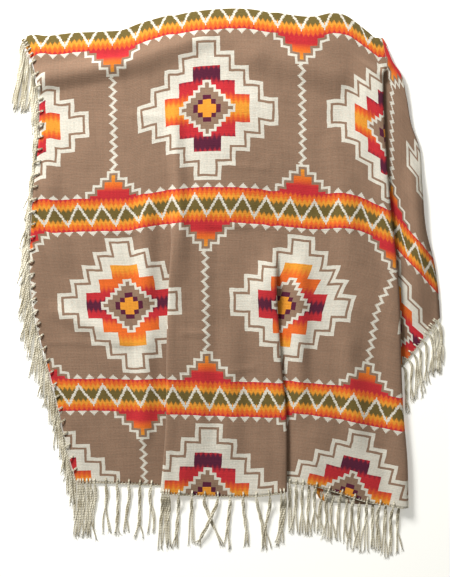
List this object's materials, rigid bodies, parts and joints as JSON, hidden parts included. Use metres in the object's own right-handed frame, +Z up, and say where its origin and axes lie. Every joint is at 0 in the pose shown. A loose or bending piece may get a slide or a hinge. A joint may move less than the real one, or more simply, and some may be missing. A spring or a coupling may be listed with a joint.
{
  "type": "trade blanket",
  "caption": "Fringed wool trade blanket laid out with its top turned under, soft pleats down its face and one side folded under and out again as a wedge.",
  "frame": {"origin": "middle of the blanket's box, fringe included, on the surface that it lies on", "axes": "+Z up from the surface, +Y towards the turned top, +X towards the folded side"},
  "size_m": [1.1628, 1.4868, 0.0204],
  "materials": {
    "trade_wool": "napped twill, matte",
    "fringe_yarn": "twisted wool yarn, matte"
  },
  "bodies": {
    "root": {"blanket_cloth": "trade_wool", "fringe_left": "fringe_yarn", "fringe_hem_left": "fringe_yarn", "fringe_hem_centre": "fringe_yarn", "fringe_hem_right": "fringe_yarn", "fringe_wedge": "fringe_yarn"}
  },
  "joints": []
}
